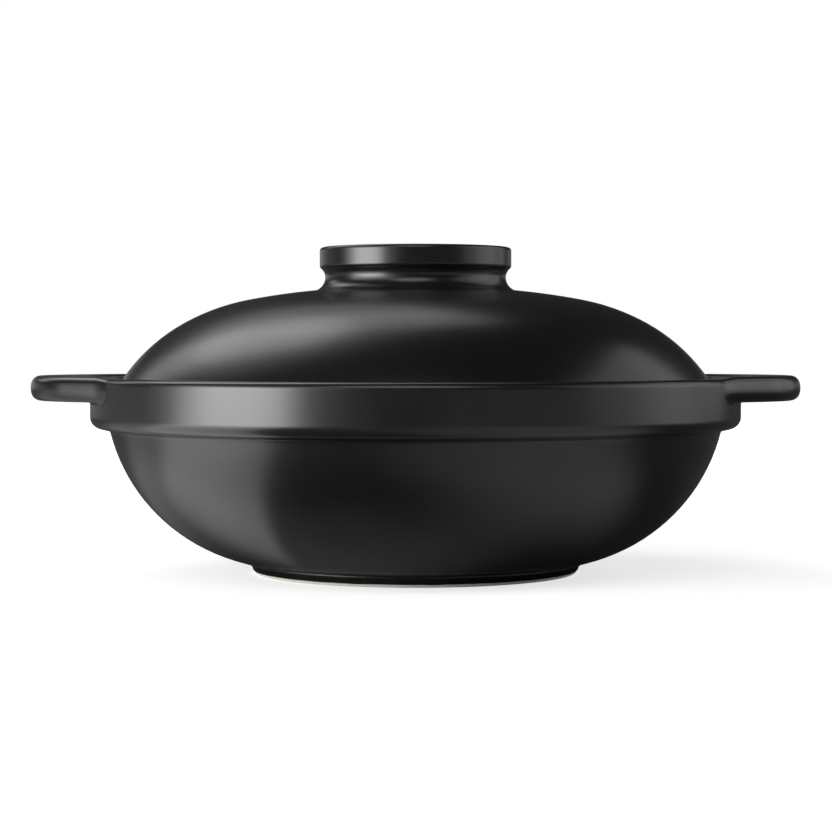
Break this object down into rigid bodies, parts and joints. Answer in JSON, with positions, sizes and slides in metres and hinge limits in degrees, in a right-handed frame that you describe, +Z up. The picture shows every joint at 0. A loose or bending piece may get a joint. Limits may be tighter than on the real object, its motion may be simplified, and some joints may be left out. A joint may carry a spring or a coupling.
{
  "type": "lidded clay cooking pot",
  "caption": "Shallow round clay pot with a heavy rim, flat slab handles, a low foot, and a domed lid with a hollow ring knob, glazed satin black.",
  "frame": {"origin": "centre of the foot where it rests on the table, on the pot's axis", "axes": "+Z up along the axis of the pot and lid, +X towards the right handle, -Y towards the front of the picture"},
  "size_m": [0.3328, 0.28, 0.1405],
  "materials": {
    "black_glaze": "satin black glaze, wiped off the lowest edge of the foot",
    "lid_glaze": "satin black glaze, bare where the lid's edge rests in its seat"
  },
  "bodies": {
    "pot": {"pot_bowl": "black_glaze", "rim_band": "black_glaze", "foot_ring": "black_glaze", "handle_left": "black_glaze", "handle_right": "black_glaze"},
    "lid": {"lid_dome": "lid_glaze", "lid_knob": "lid_glaze"}
  },
  "joints": [
    {"name": "lid_lift", "type": "slide", "parent": "pot", "child": "lid", "axis": [0, 0, 1], "range_m": [0, 0.15]}
  ]
}
